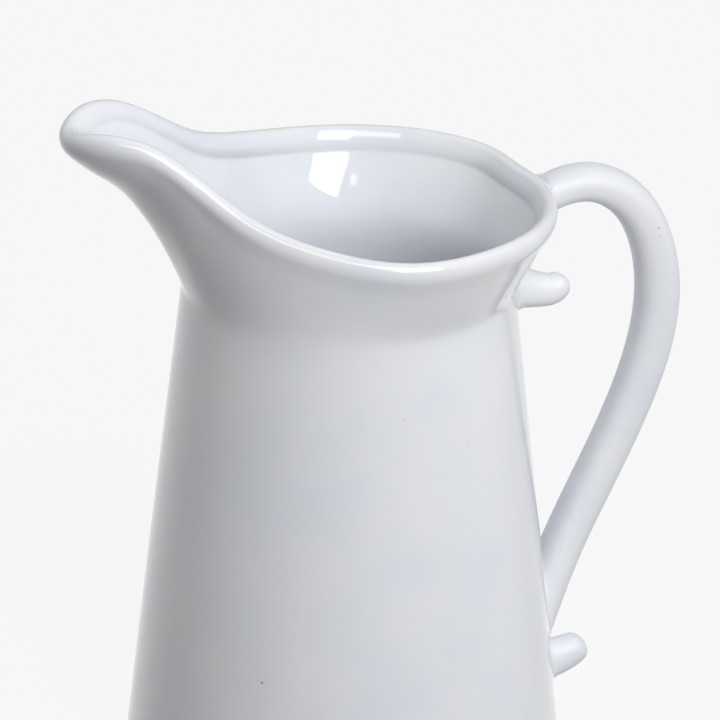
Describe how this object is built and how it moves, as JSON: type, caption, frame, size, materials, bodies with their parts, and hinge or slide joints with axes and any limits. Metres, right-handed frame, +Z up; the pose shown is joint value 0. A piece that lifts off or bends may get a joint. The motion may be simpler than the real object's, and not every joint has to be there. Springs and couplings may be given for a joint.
{
  "type": "pitcher",
  "caption": "Tall tapered ceramic pitcher with a flared collar, one pulled pouring spout, a loop handle and two small curled scrolls behind.",
  "frame": {"origin": "on the table, under the middle of the pitcher's whole length and width", "axes": "+Z up from the foot ring; the spout points to -X and the handle to +X; both lie on the plane y = 0"},
  "size_m": [0.2174, 0.1594, 0.2689],
  "materials": {
    "glaze": "glossy white glaze with a cool cast, thinner and buff at the rim",
    "bare_clay": "unglazed, fine matt stoneware"
  },
  "bodies": {
    "root": {"foot_ring": "bare_clay", "base_slab": "glaze", "body_wall": "glaze", "collar_spout": "glaze", "handle": "glaze", "upper_scroll": "glaze", "lower_scroll": "glaze"}
  },
  "joints": []
}
